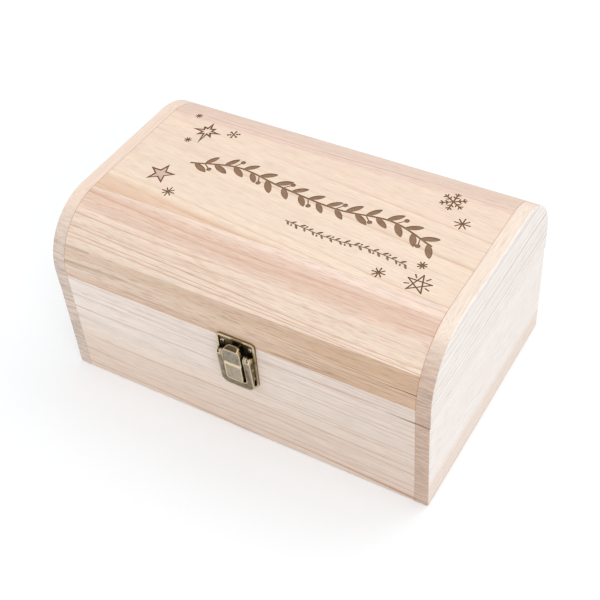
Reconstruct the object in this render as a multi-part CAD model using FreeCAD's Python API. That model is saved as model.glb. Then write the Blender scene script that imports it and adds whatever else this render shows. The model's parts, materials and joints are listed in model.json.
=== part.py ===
import FreeCAD, Part
import math
import os
from FreeCAD import Vector

# A domed wooden keepsake chest: glued boards, two stop hinges and a toggle latch. Millimetres.
# The origin is the middle of the underside, +X runs along the chest, its front faces -Y, +Z is up.

# Chest
chest_length = 300.0
chest_depth = 194.0
chest_height = 144.0
shoulder_radius = 47.0
wall = 10.0
end_thickness = 10.0
lid_height = 61.5
parting_gap = 0.3
lid_overhang = 0.5
stave_foot = 1.85
stave_split_deg = 30.0
bottom_thickness = 4.0
rabbet_width = 5.0
bottom_clearance = 0.2
eased_edge = 0.8

# Hinges: leaves let into the back edges, knuckles behind the chest, stop flanges behind the knuckles
hinge_inset = 65.0
hinge_length = 27.0
leaf_width = 8.0
leaf_thickness = 1.0
barrel_radius = 2.1
barrel_standoff = 0.3
hinge_pin_radius = 1.0
knuckle_count = 3
knuckle_gap = 0.3
stop_reach = 4.5
stop_thickness = 1.0
lid_open_deg = 100.0
stop_slack_deg = 3.0
hinge_screw_spacing = 15.0

# Screws
shank_radius = 0.9
shank_length = 8.0
head_radius = 1.9
pan_head_height = 0.9
recess_width = 0.6
recess_depth = 0.5

# Latch: sizes across its width, and distances out from the front wall
latch_offset_x = 6.2
latch_half_width = 15.2
plate_thickness = 0.9
rim_height = 2.0
rim_width = 1.5
plate_corner_radius = 3.0
plate_edge_gap = 0.2
catch_plate_height = 16.0
base_plate_height = 25.5
plate_screw_inset = 4.1
catch_screw_rise = 9.2
base_screw_drop = 18.0

# Lever and its pivot pin
lever_pivot_out = 4.5
lever_pivot_rise = 2.8
lever_side_gap = 0.3
lever_arm_width = 5.4
lever_sheet = 1.0
lever_knuckle_radius = 2.5
lever_lean = 2.4
lever_bar_height = 7.0
lever_window_gap = 2.4
lever_corner_radius = 6.0
lever_window_radius = 3.0
lever_flange_depth = 3.6
lever_flange_top_depth = 5.0
lever_flange_end = 7.0
lever_flange_shoulder = 13.0
lever_pin_radius = 0.9

# Ears of the base plate that carry the lever
ear_thickness = 1.0
ear_side_gap = 0.5
ear_clearance = 0.3
ear_radius = 1.9
ear_foot_height = 5.6
ear_front_drop = 5.0
ear_front_out = 3.6
ear_neck_gap = 0.7

# Hook, its pin and the nose that it holds
hook_pivot_out = 3.6
hook_pivot_drop = 9.3
hook_side_gap = 1.2
hook_sheet = 1.0
hook_head_out = 8.3
hook_head_rise = 17.0
hook_tip_out = 4.4
hook_tip_rise = 19.0
hook_waist_out = 7.3
hook_waist_rise = 4.2
hook_pad_out = 8.0
hook_pad_rise = 2.6
hook_tail_out = 7.5
hook_tail_drop = 12.6
hook_corner_radius = 2.5
hook_crown_radius = 5.0
hook_ear_radius = 1.9
hook_flange_gap = 0.4
hook_flange_rise = 6.0
hook_tail_flange_drop = 8.0
hook_tail_flange_out = 4.8
hook_pin_radius = 0.8
nose_side_gap = 2.4
nose_out = 5.4
nose_ridge_out = 4.4
nose_slope = 0.5
nose_height = 5.6
nose_play = 0.6

# Fits
running_clearance = 0.05

# Places worked out from the sizes above
half_depth = chest_depth / 2
half_inside = chest_length / 2 - end_thickness
half_length = chest_length / 2
parting_height = chest_height - lid_height
base_top = parting_height - parting_gap / 2
lid_bottom = parting_height + parting_gap / 2
shoulder_y = half_depth - shoulder_radius
shoulder_z = chest_height - shoulder_radius
rail_top = shoulder_z - stave_foot
inner_radius = shoulder_radius - wall
axis_y = half_depth + barrel_standoff + barrel_radius
stop_deg = (lid_open_deg + stop_slack_deg) / 2
relief_radius = barrel_radius + barrel_standoff
hinge_centres = (hinge_inset - half_length, half_length - hinge_inset)
hinge_screw_y = half_depth - leaf_width / 2
lever_z = parting_height + lever_pivot_rise
hook_z = lever_z - hook_pivot_drop
catch_bottom = lid_bottom + plate_edge_gap
catch_top = catch_bottom + catch_plate_height
plate_top = base_top - plate_edge_gap
plate_bottom = plate_top - base_plate_height
plate_screw_reach = latch_half_width - plate_screw_inset
lever_half_width = latch_half_width - rim_width - lever_side_gap
lever_length = hook_pivot_drop + hook_tail_drop + lever_window_gap + lever_bar_height
arm_inner = lever_half_width - lever_arm_width
flange_inner = lever_half_width - lever_sheet
ear_outer = flange_inner - ear_side_gap
ear_inner = ear_outer - ear_thickness
ear_neck_out = plate_thickness + ear_neck_gap
hook_half_width = arm_inner - hook_side_gap
hook_flange_out = lever_pivot_out + lever_pin_radius + hook_flange_gap
nose_half_width = hook_half_width - hook_sheet - nose_side_gap
X_AXIS = Vector(1, 0, 0)
Y_AXIS = Vector(0, 1, 0)
Z_AXIS = Vector(0, 0, 1)


def block(x0, x1, y0, y1, z0, z1):
    return Part.makeBox(x1 - x0, y1 - y0, z1 - z0, Vector(x0, y0, z0))


def line(p, q):
    return Part.LineSegment(Vector(0, *p), Vector(0, *q)).toShape()


def arc(centre, radius, start_deg, end_deg):
    """An arc in the YZ plane; angles run from +Y towards +Z."""
    spots = []
    for deg in (start_deg, (start_deg + end_deg) / 2, end_deg):
        turn = math.radians(deg)
        spots.append(Vector(0, centre[0] + radius * math.cos(turn), centre[1] + radius * math.sin(turn)))
    return Part.Arc(*spots).toShape()


def prism(edges, x0, x1):
    """Extrudes a closed outline of the YZ plane from x0 to x1."""
    face = Part.Face(Part.Wire(Part.__sortEdges__(edges)))
    face.translate(X_AXIS * x0)
    return face.extrude(X_AXIS * (x1 - x0))


def polygon(points):
    return [line(p, q) for p, q in zip(points, points[1:] + points[:1])]


def rod(radius, x0, x1, y, z):
    return Part.makeCylinder(radius, x1 - x0, Vector(x0, y, z), X_AXIS)


def flipped(shape):
    """The same piece on the other side of the chest, front to back."""
    return shape.mirror(Vector(), Y_AXIS)


def other_end(shape):
    return shape.mirror(Vector(), X_AXIS)


def beside(shape):
    """A latch piece and its twin on the other side of the latch's middle line."""
    return shape.fuse(shape.mirror(Vector(latch_offset_x, 0, 0), X_AXIS))


def export(name, shape):
    shape.removeSplitter().exportStep(f"parts/{name}.step")


# Screws

def cross_recess(depth):
    reach = 2 * shank_radius
    bar = block(-reach / 2, reach / 2, -recess_width / 2, recess_width / 2, -depth, 0)
    upright = block(-recess_width / 2, recess_width / 2, -reach / 2, reach / 2, -depth, 0)
    return bar.fuse(upright)


def flat_head_screw():
    """A countersunk screw, its head up and flush with z = 0."""
    head = Part.makeCone(shank_radius, head_radius, leaf_thickness, Vector(0, 0, -leaf_thickness))
    shank = Part.makeCylinder(shank_radius, shank_length, Vector(0, 0, -leaf_thickness - shank_length))
    return head.fuse(shank)


def pan_head_screw():
    """A round-headed screw that seats at z = 0."""
    head = Part.makeCylinder(head_radius, pan_head_height)
    rim = [edge for edge in head.Edges if edge.BoundBox.ZMin > pan_head_height / 2]
    head = head.makeFillet(pan_head_height / 2, rim[:1])
    grip = plate_thickness + shank_length
    return head.fuse(Part.makeCylinder(shank_radius, grip, Vector(0, 0, -grip)))


def at_hinges(shape, face_z):
    """Copies a screw to every screw place of the hinges' base leaves, its head at face_z."""
    copies = []
    for centre in hinge_centres:
        for side in (-1, 1):
            place = Vector(centre + side * hinge_screw_spacing / 2, hinge_screw_y, face_z)
            copies.append(shape.translated(place))
    return copies


def on_front(shape, z):
    """Lays an upright screw down on the latch's plate, in two places."""
    laid = shape.rotated(Vector(), X_AXIS, 90)
    places = [latch_offset_x + side * plate_screw_reach for side in (-1, 1)]
    return [laid.translated(Vector(x, -half_depth - plate_thickness, z)) for x in places]


def turned_over(shape):
    """Turns a base leaf's piece about the parting plane into a lid leaf's piece."""
    return shape.mirror(Vector(0, 0, parting_height), Z_AXIS)


base_hinge_screws = at_hinges(flat_head_screw(), base_top)
lid_hinge_screws = [turned_over(screw) for screw in base_hinge_screws]
catch_screws = on_front(pan_head_screw(), catch_bottom + catch_screw_rise)
plate_screws = on_front(pan_head_screw(), plate_top - base_screw_drop)


# Base

def base_front_panel():
    board = block(-half_inside, half_inside, -half_depth, wall - half_depth, 0, base_top)
    rabbet = block(-half_inside, half_inside, rabbet_width - half_depth, wall - half_depth,
                   0, bottom_thickness)
    return board.cut(rabbet)


def leaf_mortise(centre):
    """The shallow seat of one hinge leaf in the base's back edge."""
    return block(centre - hinge_length / 2, centre + hinge_length / 2,
                 half_depth - leaf_width, half_depth, base_top - leaf_thickness, base_top)


def base_end():
    board = block(half_inside, half_length, -half_depth, half_depth, 0, base_top)
    outer = [edge for edge in board.Edges
             if edge.BoundBox.XMin > half_length - eased_edge and edge.BoundBox.ZMin < base_top - eased_edge]
    board = board.makeFillet(eased_edge, outer)
    reach = half_depth - rabbet_width
    return board.cut(block(half_inside, half_inside + rabbet_width, -reach, reach, 0, bottom_thickness))


def base_bottom_panel():
    half_x = half_inside + rabbet_width - bottom_clearance
    half_y = half_depth - rabbet_width - bottom_clearance
    return block(-half_x, half_x, -half_y, half_y, 0, bottom_thickness)


# Lid

def shoulder_spot(radius, deg):
    """A point of the front shoulder; 0 degrees is its foot and 90 its crown."""
    turn = math.radians(deg)
    return (-shoulder_y - radius * math.cos(turn), shoulder_z + radius * math.sin(turn))


def shoulder_arc(radius, start_deg, end_deg):
    return arc((-shoulder_y, shoulder_z), radius, 180 - start_deg, 180 - end_deg)


def lid_front_rail():
    return block(-half_inside, half_inside, -half_depth, wall - half_depth, lid_bottom, rail_top)


def split_line():
    """The glue line between a shoulder's two staves."""
    return line(shoulder_spot(shoulder_radius, stave_split_deg), shoulder_spot(inner_radius, stave_split_deg))


def lid_lower_stave():
    foot_out = (-half_depth, rail_top)
    foot_in = (wall - half_depth, rail_top)
    edges = [line(foot_in, foot_out),
             line(foot_out, shoulder_spot(shoulder_radius, 0)),
             shoulder_arc(shoulder_radius, 0, stave_split_deg),
             split_line(),
             shoulder_arc(inner_radius, stave_split_deg, 0),
             line(shoulder_spot(inner_radius, 0), foot_in)]
    return prism(edges, -half_inside, half_inside)


def lid_upper_stave():
    edges = [shoulder_arc(shoulder_radius, stave_split_deg, 90),
             line(shoulder_spot(shoulder_radius, 90), shoulder_spot(inner_radius, 90)),
             shoulder_arc(inner_radius, 90, stave_split_deg),
             split_line()]
    return prism(edges, -half_inside, half_inside)


def lid_top_board():
    return block(-half_inside, half_inside, -shoulder_y, shoulder_y, chest_height - wall, chest_height)


def lid_end():
    """An end board of the lid, with the shoulders' outline and its outer edge eased."""
    crown_left = (-shoulder_y, chest_height)
    crown_right = (shoulder_y, chest_height)
    edges = [line((-half_depth, lid_bottom), (half_depth, lid_bottom)),
             line((half_depth, lid_bottom), (half_depth, shoulder_z)),
             arc((shoulder_y, shoulder_z), shoulder_radius, 0, 90),
             line(crown_right, crown_left),
             arc((-shoulder_y, shoulder_z), shoulder_radius, 90, 180),
             line((-half_depth, shoulder_z), (-half_depth, lid_bottom))]
    outer_x = half_length + lid_overhang
    board = prism(edges, half_inside, outer_x)
    rim = [edge for edge in board.Edges
           if edge.BoundBox.XMin > outer_x - eased_edge and edge.BoundBox.ZMax > lid_bottom + eased_edge]
    return board.makeFillet(eased_edge, rim)


# Hinges

def knuckle_span(centre, index):
    """Start and end along X of one of a hinge's knuckles."""
    start = centre - hinge_length / 2
    pitch = hinge_length / knuckle_count
    return start + index * pitch + knuckle_gap / 2, start + (index + 1) * pitch - knuckle_gap / 2


def stop_flange(x0, x1, inner, outer):
    """A flange behind the barrel whose upper face is square to the stop angle."""
    flange = block(x0, x1, inner, outer, -stop_thickness, 0)
    flange.rotate(Vector(), X_AXIS, -stop_deg)
    return flange.translated(Vector(0, axis_y, parting_height))


def base_leaf(centre, own, others, bore):
    """A leaf with its own knuckles and stop flange, cleared for the other leaf's knuckles."""
    x0 = centre - hinge_length / 2
    x1 = centre + hinge_length / 2
    leaf = block(x0, x1, half_depth - leaf_width, axis_y, base_top - leaf_thickness, base_top)
    flange_out = barrel_radius + stop_reach
    leaf = leaf.fuse(stop_flange(x0, x1, relief_radius, flange_out))
    for index in others:
        start, end = knuckle_span(centre, index)
        relief = rod(relief_radius, start - knuckle_gap, end + knuckle_gap, axis_y, parting_height)
        leaf = leaf.cut(relief)
    for index in own:
        start, end = knuckle_span(centre, index)
        leaf = leaf.fuse(rod(barrel_radius, start, end, axis_y, parting_height))
        leaf = leaf.fuse(stop_flange(start, end, 0, flange_out))
    for screw in base_hinge_screws:
        leaf = leaf.cut(screw)
    return leaf.cut(rod(bore, x0, x1, axis_y, parting_height))


def hinge_pin(centre):
    return rod(hinge_pin_radius, centre - hinge_length / 2, centre + hinge_length / 2, axis_y, parting_height)


# Latch

def out(distance):
    """The Y place of a point that stands a distance out from the front wall."""
    return -half_depth - distance


def side_points(points):
    return [(out(distance), z) for distance, z in points]


def latch_prism(points, half_width):
    return prism(polygon(side_points(points)), latch_offset_x - half_width, latch_offset_x + half_width)


def latch_strip(points, inner, outer):
    """The same outline on both sides, from inner to outer across the latch."""
    strip = prism(polygon(side_points(points)), latch_offset_x + inner, latch_offset_x + outer)
    return beside(strip)


def latch_rods(radius, inner, outer, distance, z):
    return beside(rod(radius, latch_offset_x + inner, latch_offset_x + outer, out(distance), z))


def rounded_plate(half_width, z0, z1, radius, from_out, to_out, round_top):
    """A plate flat on the wall, with two of its corners rounded, at the top or the bottom."""
    plate = block(latch_offset_x - half_width, latch_offset_x + half_width,
                  out(to_out), out(from_out), z0, z1)
    corner_z = z1 if round_top else z0
    corners = [edge for edge in plate.Edges
               if edge.BoundBox.ZLength < radius / 2 and edge.BoundBox.XLength < radius / 2
               and abs(edge.BoundBox.ZMin - corner_z) < radius / 2]
    return plate.makeFillet(radius, corners)


def rimmed_plate(z0, z1, round_top):
    """A pressed plate with a raised rim on three sides; the side at the parting line is open."""
    plate = rounded_plate(latch_half_width, z0, z1, plate_corner_radius, 0, rim_height, round_top)
    pocket_z0 = z0 - rim_width if round_top else z0 + rim_width
    pocket_z1 = z1 - rim_width if round_top else z1 + rim_width
    pocket_radius = plate_corner_radius - rim_width
    pocket = rounded_plate(latch_half_width - rim_width, pocket_z0, pocket_z1, pocket_radius,
                           plate_thickness, rim_height, round_top)
    return plate.cut(pocket)


def hook_under_z(distance):
    """Height of the underside of the hook's head at a distance out from the wall."""
    share = (distance - hook_tip_out) / (hook_head_out - hook_tip_out)
    return hook_z + hook_tip_rise + share * (hook_head_rise - hook_tip_rise) - hook_sheet


def nose():
    """The catch's nose, which the hook's head turns over."""
    ridge_z = hook_under_z(nose_ridge_out) - nose_play
    tip_z = hook_under_z(nose_out) - nose_play
    points = [(plate_thickness / 2, ridge_z - nose_height), (plate_thickness / 2, ridge_z),
              (nose_ridge_out, ridge_z), (nose_out, tip_z - nose_slope),
              (nose_out, tip_z - nose_out / 2)]
    return latch_prism(points, nose_half_width)


def latch_catch_plate():
    plate = rimmed_plate(catch_bottom, catch_top, True).fuse(nose())
    for screw in catch_screws:
        plate = plate.cut(screw)
    return plate


def plate_ears():
    """Two upright ears with round ends about the lever's pivot."""
    foot_z = plate_top - ear_foot_height
    points = [(plate_thickness / 2, foot_z), (plate_thickness / 2, plate_top), (ear_neck_out, plate_top),
              (lever_pivot_out - ear_radius, lever_z), (lever_pivot_out + ear_radius, lever_z),
              (ear_front_out, lever_z - ear_front_drop)]
    ears = latch_strip(points, ear_inner, ear_outer)
    ears = ears.fuse(latch_rods(ear_radius, ear_inner, ear_outer, lever_pivot_out, lever_z))
    bore = lever_pin_radius + running_clearance
    return ears.cut(latch_rods(bore, ear_inner, ear_outer, lever_pivot_out, lever_z))


def latch_base_plate():
    plate = rimmed_plate(plate_bottom, plate_top, False).fuse(plate_ears())
    for screw in plate_screws:
        plate = plate.cut(screw)
    return plate


lever_face_out = lever_pivot_out + lever_knuckle_radius
lever_foot_z = lever_z - lever_length


def lever_face(z):
    """How far out the lever's leaning face stands at a height."""
    return lever_face_out - lever_lean * (lever_z - z) / lever_length


def lever_outline():
    """The lever's outer outline and its window, as blocks that run out from the wall."""
    reach = lever_face_out + lever_sheet
    outer = rounded_plate(lever_half_width, lever_foot_z, lever_z + lever_knuckle_radius, lever_corner_radius,
                          0, reach, False)
    window = rounded_plate(arm_inner, lever_foot_z + lever_bar_height,
                           lever_z + 2 * lever_knuckle_radius, lever_window_radius, 0, reach, False)
    return outer, window


def latch_lever():
    """The frame: two arms joined by a bar, with a slot at the top of each arm where an ear sits."""
    foot_out = lever_face(lever_foot_z)
    sheet = latch_prism([(lever_face_out, lever_z), (foot_out, lever_foot_z),
                         (foot_out - lever_sheet, lever_foot_z), (lever_face_out - lever_sheet, lever_z)],
                        lever_half_width)
    shoulder_height = lever_foot_z + lever_flange_shoulder
    end_height = lever_foot_z + lever_flange_end
    flange_points = [(lever_face_out, lever_z), (lever_face(end_height), end_height),
                     (lever_face(end_height) - lever_sheet, end_height),
                     (lever_face(shoulder_height) - lever_flange_depth + lever_sheet, shoulder_height),
                     (lever_face(hook_z) - lever_flange_depth - lever_sheet / 2, hook_z - hook_ear_radius),
                     (lever_face_out - lever_flange_top_depth, lever_z)]
    flanges = latch_strip(flange_points, flange_inner, lever_half_width)
    outer, window = lever_outline()
    frame = sheet.fuse(flanges).common(outer).cut(window)
    slot_inner = ear_inner - ear_clearance
    slot_outer = ear_outer + ear_clearance
    slot_radius = ear_radius + ear_clearance
    frame = frame.cut(latch_rods(slot_radius, slot_inner, slot_outer, lever_pivot_out, lever_z))
    for inner, outer in ((arm_inner, slot_inner), (flange_inner, lever_half_width)):
        frame = frame.fuse(latch_rods(lever_knuckle_radius, inner, outer, lever_pivot_out, lever_z))
    frame = frame.cut(lever_pin())
    return frame.cut(hook_pin())


def lever_pin():
    return rod(lever_pin_radius, latch_offset_x - lever_half_width, latch_offset_x + lever_half_width,
               out(lever_pivot_out), lever_z)


def hook_pin():
    return rod(hook_pin_radius, latch_offset_x - lever_half_width, latch_offset_x + lever_half_width,
               out(hook_pivot_out), hook_z)


def hook_block(points, half_width, z0, z1, corner_radius, crown_radius):
    """A side outline carried across the hook's width, with its corners rounded as seen from the front."""
    reach = hook_head_out + hook_sheet
    foot = rounded_plate(half_width, z0, z1, corner_radius, 0, reach, False)
    crown = rounded_plate(half_width, z0, z1, crown_radius, 0, reach, True)
    return latch_prism(points, half_width).common(foot).common(crown)


def latch_hook():
    """The tongue: a drawn cap, open at the back, with a thumb pad and a head that reaches over the nose."""
    head_z = hook_z + hook_head_rise
    tip_z = hook_z + hook_tip_rise
    waist_z = hook_z + hook_waist_rise
    pad_z = hook_z + hook_pad_rise
    tail_z = hook_z - hook_tail_drop
    tip_under_z = hook_under_z(hook_tip_out)
    face = [(hook_tip_out, tip_z), (hook_head_out, head_z), (hook_waist_out, waist_z),
            (hook_pad_out, pad_z), (hook_tail_out, tail_z)]
    back = [(hook_tail_flange_out, hook_z - hook_tail_flange_drop),
            (hook_pivot_out, hook_z - hook_ear_radius), (hook_pivot_out, hook_z + hook_ear_radius),
            (hook_flange_out, hook_z + hook_flange_rise),
            (hook_flange_out, hook_under_z(hook_flange_out)), (hook_tip_out, tip_under_z)]
    inside = [(hook_tip_out, tip_under_z), (hook_head_out - hook_sheet, hook_under_z(hook_head_out)),
              (hook_waist_out - hook_sheet, waist_z), (hook_pad_out - hook_sheet, pad_z),
              (hook_tail_out - hook_sheet, tail_z), (0, tail_z), (0, tip_under_z)]
    inner = hook_half_width - hook_sheet
    cap = hook_block(face + back, hook_half_width, tail_z, tip_z, hook_corner_radius, hook_crown_radius)
    cap = cap.cut(hook_block(inside, inner, tail_z + hook_sheet, tip_z - hook_sheet,
                             hook_corner_radius - hook_sheet, hook_crown_radius - hook_sheet))
    cap = cap.fuse(latch_rods(hook_ear_radius, inner, hook_half_width, hook_pivot_out, hook_z))
    bore = hook_pin_radius + running_clearance
    return cap.cut(latch_rods(bore, inner, hook_half_width, hook_pivot_out, hook_z))


# Boards with the seats and holes of what is screwed to them

def bored(board, screws):
    for screw in screws:
        board = board.cut(screw)
    return board


def base_back_panel():
    board = flipped(base_front_panel())
    for centre in hinge_centres:
        board = board.cut(leaf_mortise(centre))
    return bored(board, base_hinge_screws)


def lid_back_rail():
    board = flipped(lid_front_rail())
    for centre in hinge_centres:
        board = board.cut(turned_over(leaf_mortise(centre)))
    return bored(board, lid_hinge_screws)


def recessed(screws, depth, head_z, upright):
    """Screws with their cross recesses, as one group of separate solids."""
    cutter = cross_recess(depth)
    finished = []
    for screw in screws:
        middle = screw.BoundBox.Center
        if upright:
            tool = cutter if head_z < parting_height else cutter.mirror(Vector(), Z_AXIS)
            tool = tool.translated(Vector(middle.x, middle.y, head_z))
        else:
            tool = cutter.rotated(Vector(), X_AXIS, 90).translated(Vector(middle.x, head_z, middle.z))
        finished.append(screw.cut(tool))
    return Part.makeCompound(finished)


def main():
    os.makedirs("parts", exist_ok=True)
    export("base_front_panel", bored(base_front_panel(), plate_screws))
    export("base_back_panel", base_back_panel())
    export("base_right_end", base_end())
    export("base_left_end", other_end(base_end()))
    export("base_bottom_panel", base_bottom_panel())

    export("lid_front_rail", bored(lid_front_rail(), catch_screws))
    export("lid_back_rail", lid_back_rail())
    export("lid_front_lower_stave", bored(lid_lower_stave(), catch_screws))
    export("lid_back_lower_stave", bored(flipped(lid_lower_stave()), lid_hinge_screws))
    export("lid_front_upper_stave", lid_upper_stave())
    export("lid_back_upper_stave", flipped(lid_upper_stave()))
    export("lid_top_board", lid_top_board())
    export("lid_right_end", lid_end())
    export("lid_left_end", other_end(lid_end()))

    loose_bore = hinge_pin_radius + running_clearance
    base_knuckles = range(0, knuckle_count, 2)
    lid_knuckles = range(1, knuckle_count, 2)
    for side, centre in zip(("left", "right"), hinge_centres):
        tight_leaf = base_leaf(centre, base_knuckles, lid_knuckles, hinge_pin_radius)
        loose_leaf = base_leaf(centre, lid_knuckles, base_knuckles, loose_bore)
        export(f"hinge_{side}_base_leaf", tight_leaf)
        export(f"hinge_{side}_lid_leaf", turned_over(loose_leaf))
        export(f"hinge_{side}_pin", hinge_pin(centre))
    export("hinge_base_screws", recessed(base_hinge_screws, recess_depth, base_top, True))
    export("hinge_lid_screws", recessed(lid_hinge_screws, recess_depth, lid_bottom, True))

    head_y = out(plate_thickness + pan_head_height)
    export("latch_catch_plate", latch_catch_plate())
    export("latch_catch_screws", recessed(catch_screws, recess_depth, head_y, False))
    export("latch_base_plate", latch_base_plate())
    export("latch_base_screws", recessed(plate_screws, recess_depth, head_y, False))
    export("latch_lever", latch_lever())
    export("latch_lever_pin", lever_pin())
    export("latch_hook", latch_hook())
    export("latch_hook_pin", hook_pin())


main()
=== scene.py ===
# %% [markdown]
# # A domed keepsake chest
# The chest is a small domed box of bare, sanded paulownia, a very light and pale wood. A CAD model of it is
# loaded first: every board, hinge leaf, pin, screw and latch piece is a node of its own, in metres, with the
# chest's front towards -Y. This lesson leaves all of it where it is and gives each piece its finish: plank by
# plank the wood, the engraving on the lid, and the worn bronze of the latch and hinges.

# %% Load the fixed frame
import json
import math

import bmesh
import bpy
from mathutils import Matrix, Vector
from mathutils.bvhtree import BVHTree
from mathutils.geometry import delaunay_2d_cdt
from mathutils.kdtree import KDTree


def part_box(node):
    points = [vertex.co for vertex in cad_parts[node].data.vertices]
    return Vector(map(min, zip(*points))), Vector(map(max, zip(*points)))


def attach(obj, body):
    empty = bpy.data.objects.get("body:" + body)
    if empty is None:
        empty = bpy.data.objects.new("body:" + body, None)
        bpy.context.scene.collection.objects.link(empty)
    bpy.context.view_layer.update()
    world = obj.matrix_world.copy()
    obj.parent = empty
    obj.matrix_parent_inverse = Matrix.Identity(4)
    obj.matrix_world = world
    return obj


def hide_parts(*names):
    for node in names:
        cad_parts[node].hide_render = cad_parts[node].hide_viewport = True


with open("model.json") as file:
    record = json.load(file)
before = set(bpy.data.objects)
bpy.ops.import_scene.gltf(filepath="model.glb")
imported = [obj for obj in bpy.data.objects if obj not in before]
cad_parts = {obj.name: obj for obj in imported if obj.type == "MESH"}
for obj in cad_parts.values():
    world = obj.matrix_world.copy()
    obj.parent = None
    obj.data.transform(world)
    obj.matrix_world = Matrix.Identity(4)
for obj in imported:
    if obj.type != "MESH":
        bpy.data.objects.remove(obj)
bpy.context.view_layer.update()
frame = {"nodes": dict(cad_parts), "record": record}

MM = 0.001
X, Y, Z = Vector((1, 0, 0)), Vector((0, 1, 0)), Vector((0, 0, 1))
# The height where the lid was sawn off, and how far from the middle the boards and the end boards stop.
parting_height, board_end, chest_end = 82.5 * MM, 140 * MM, 150 * MM
scene = bpy.context.scene
cad = frame["nodes"]
body_of_node = {n: body for body, names in frame["record"]["behaviour"]["bodies"].items() for n in names}
slot_of_node = {s["node"]: s["material_slot"] for s in frame["record"]["subparts"]}

# %% [markdown]
# ## Camera
# The picture was taken from above the chest's front right corner with a longish lens, and the camera was held
# a little crooked. The angles below come from fitting the chest's corners, so the camera is set from them
# instead of by eye. The focal length is written in pixels of the picture, which Blender wants in millimetres
# of its sensor.

# %% The camera
azimuth, elevation, roll = math.radians(33.779), math.radians(44.199), math.radians(-5.097)
focal_px, picture_px, sensor_mm = 1144.78, 600, 36
aim, aim_right, aim_up, distance = 60 * MM * Z, -2.779 * MM, -9.922 * MM, 855.2 * MM

back = Vector((math.sin(azimuth) * math.cos(elevation), -math.cos(azimuth) * math.cos(elevation),
               math.sin(elevation)))
level = (-back).cross(Z).normalized()
upright = level.cross(-back)
right = level * math.cos(roll) + upright * math.sin(roll)
up = upright * math.cos(roll) - level * math.sin(roll)
camera = bpy.data.objects.new("camera", bpy.data.cameras.new("camera"))
camera.data.sensor_width = sensor_mm
camera.data.lens = focal_px / picture_px * sensor_mm
camera.matrix_world = (Matrix.Translation(aim + right * aim_right + up * aim_up + back * distance)
                       @ Matrix((right, up, back)).transposed().to_4x4())
scene.collection.objects.link(camera)
scene.camera = camera
print("camera at", [round(v, 3) for v in camera.matrix_world.translation])

# %% [markdown]
# ## Colours and nodes
# Colours are written as the sRGB hex values that a paint program shows, and Blender's shaders work in linear
# light, so one function converts them. One more small function adds a node, makes its settings and feeds its
# inputs. It serves shader trees and Geometry Nodes trees alike. The kinds of node that come up most often get
# short names. The last three functions start a material, fill a colour ramp and draw noise out into streaks.

# %% Helpers
MATH, RANGE, MIX, VECTOR = "ShaderNodeMath", "ShaderNodeMapRange", "ShaderNodeMix", "ShaderNodeCombineXYZ"
NOISE, FINISH, OUTPUT = "ShaderNodeTexNoise", "ShaderNodeBsdfPrincipled", "ShaderNodeOutputMaterial"
GRID, DISC, JOIN = "GeometryNodeMeshGrid", "GeometryNodeMeshCircle", "GeometryNodeJoinGeometry"
MOVE, COPIES = "GeometryNodeTransform", "GeometryNodeInstanceOnPoints"


def srgb(code):
    """A hex colour as linear red, green, blue and alpha."""
    parts = [int(code[i:i + 2], 16) / 255 for i in (1, 3, 5)]
    return (*[p / 12.92 if p <= 0.04045 else ((p + 0.055) / 1.055) ** 2.4 for p in parts], 1)


def add(tree, kind, feeds=(), **settings):
    """Adds a node. Feeds go to the inputs by name, or else in order. They are values, sockets, or nodes whose
    first output is taken; a list links them all."""
    node = tree.nodes.new(kind)
    for name, value in settings.items():
        setattr(node, name, value)
    for key, value in feeds.items() if isinstance(feeds, dict) else enumerate(feeds):
        by_name = [s for s in node.inputs if s.enabled and s.name == key]
        socket = by_name[0] if by_name else node.inputs[key]
        for one in value if isinstance(value, list) else [value]:
            if isinstance(one, bpy.types.Node):
                one = next(s for s in one.outputs if s.enabled)
            if isinstance(one, bpy.types.NodeSocket):
                tree.links.new(one, socket)
            else:
                socket.default_value = one
    return node


def new_material(name):
    """A material without a finish, its tree, and the place in the object that its patterns hang on."""
    material = bpy.data.materials.new(name)
    material.use_nodes = True
    tree = material.node_tree
    tree.nodes.clear()
    return material, tree, add(tree, "ShaderNodeTexCoord").outputs["Object"]


def set_stops(ramp, tones):
    """Gives a colour ramp its tones, as (place, colour)."""
    stops = ramp.color_ramp.elements
    while len(stops) < len(tones):
        stops.new(0.5)
    for stop, (place, colour) in zip(stops, tones):
        stop.position, stop.color = place, colour


def streaks(tree, field, length, width, detail):
    """Noise that is drawn out into streaks of this length and width."""
    scaled = add(tree, "ShaderNodeVectorMath", (field, (1 / length, 1 / width, 1 / width)),
                 operation="MULTIPLY")
    return add(tree, NOISE, {"Vector": scaled, "Scale": 1.0, "Detail": detail})


# %% [markdown]
# ## Floor, world and lamps
# The chest stands on seamless white paper. The paper is nearly white to the camera and a little darker to the
# light that bounces off it, so that the picture's ground is white and the wood isn't washed out from below.
# The world is an even pale studio. One large lamp behind and to the right throws the soft shadow to the front
# left, and a broad weak one fills the right end.

# %% The stage
scene.view_settings.view_transform = "Standard"


def seen_directly(tree):
    """1 for what the camera, a reflection or glass shows, and 0 for light that only bounces."""
    ray = add(tree, "ShaderNodeLightPath").outputs
    seen = ray["Is Camera Ray"]
    for other in ("Is Glossy Ray", "Is Transmission Ray"):
        seen = add(tree, MATH, (seen, ray[other]), operation="MAXIMUM")
    return seen


studio = bpy.data.worlds.new("pale_studio")
scene.world = studio
studio.use_nodes = True
t = studio.node_tree
t.nodes.clear()
room_light, backdrop = [
    add(t, "ShaderNodeBackground", {"Color": srgb("#ffffff"), "Strength": power}) for power in (0.88, 1.0)]
room = add(t, "ShaderNodeMixShader", (seen_directly(t), room_light, backdrop))
add(t, "ShaderNodeOutputWorld", {"Surface": room})

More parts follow.
